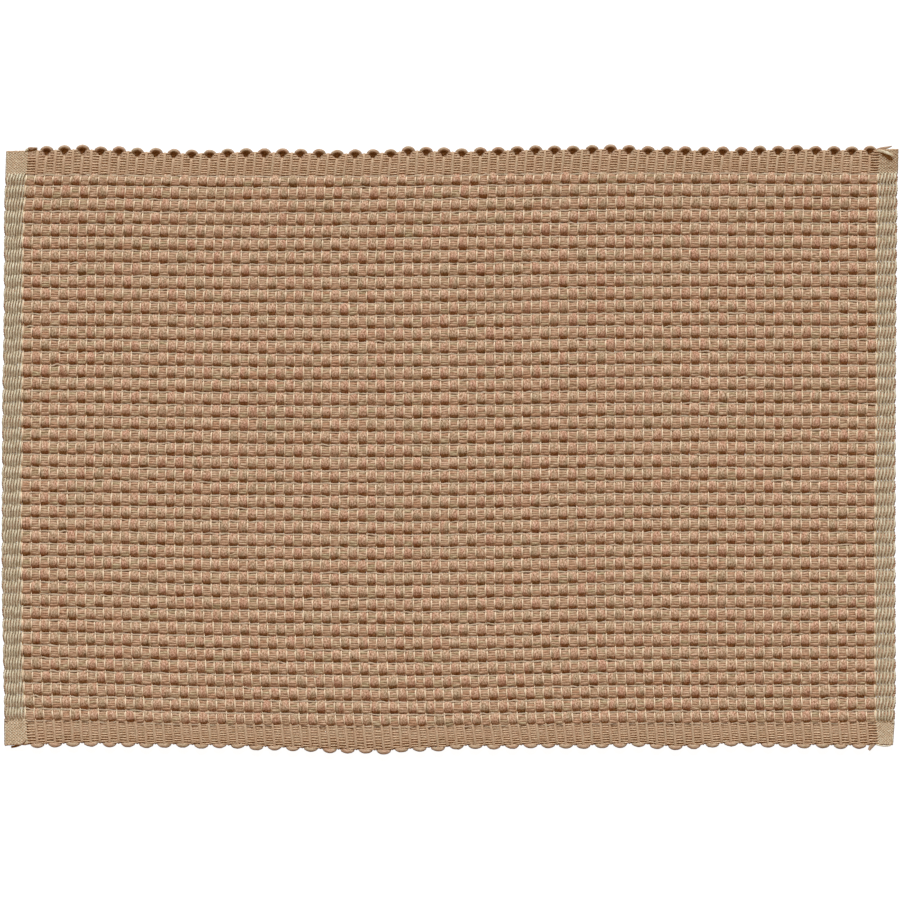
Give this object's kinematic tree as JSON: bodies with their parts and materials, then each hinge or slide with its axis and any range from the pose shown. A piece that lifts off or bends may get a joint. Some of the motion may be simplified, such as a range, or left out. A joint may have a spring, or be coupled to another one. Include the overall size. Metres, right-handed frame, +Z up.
{
  "type": "woven fabric placemat",
  "caption": "Rectangular ribbed cotton place mat, woven in one piece with thick soft yarn, flat selvedges and small yarn loops along its long edges.",
  "frame": {"origin": "under the middle of the mat's outline, on the surface it lies on", "axes": "+X along the ribs and the long edges, +Y across the ribs towards the far long edge, +Z up out of the worn face"},
  "size_m": [0.4864, 0.3302, 0.004],
  "materials": {
    "tan_cotton": "matte heathered tan cotton, ribbed, with cream binding yarns"
  },
  "bodies": {
    "root": {"placemat": "tan_cotton"}
  },
  "joints": []
}
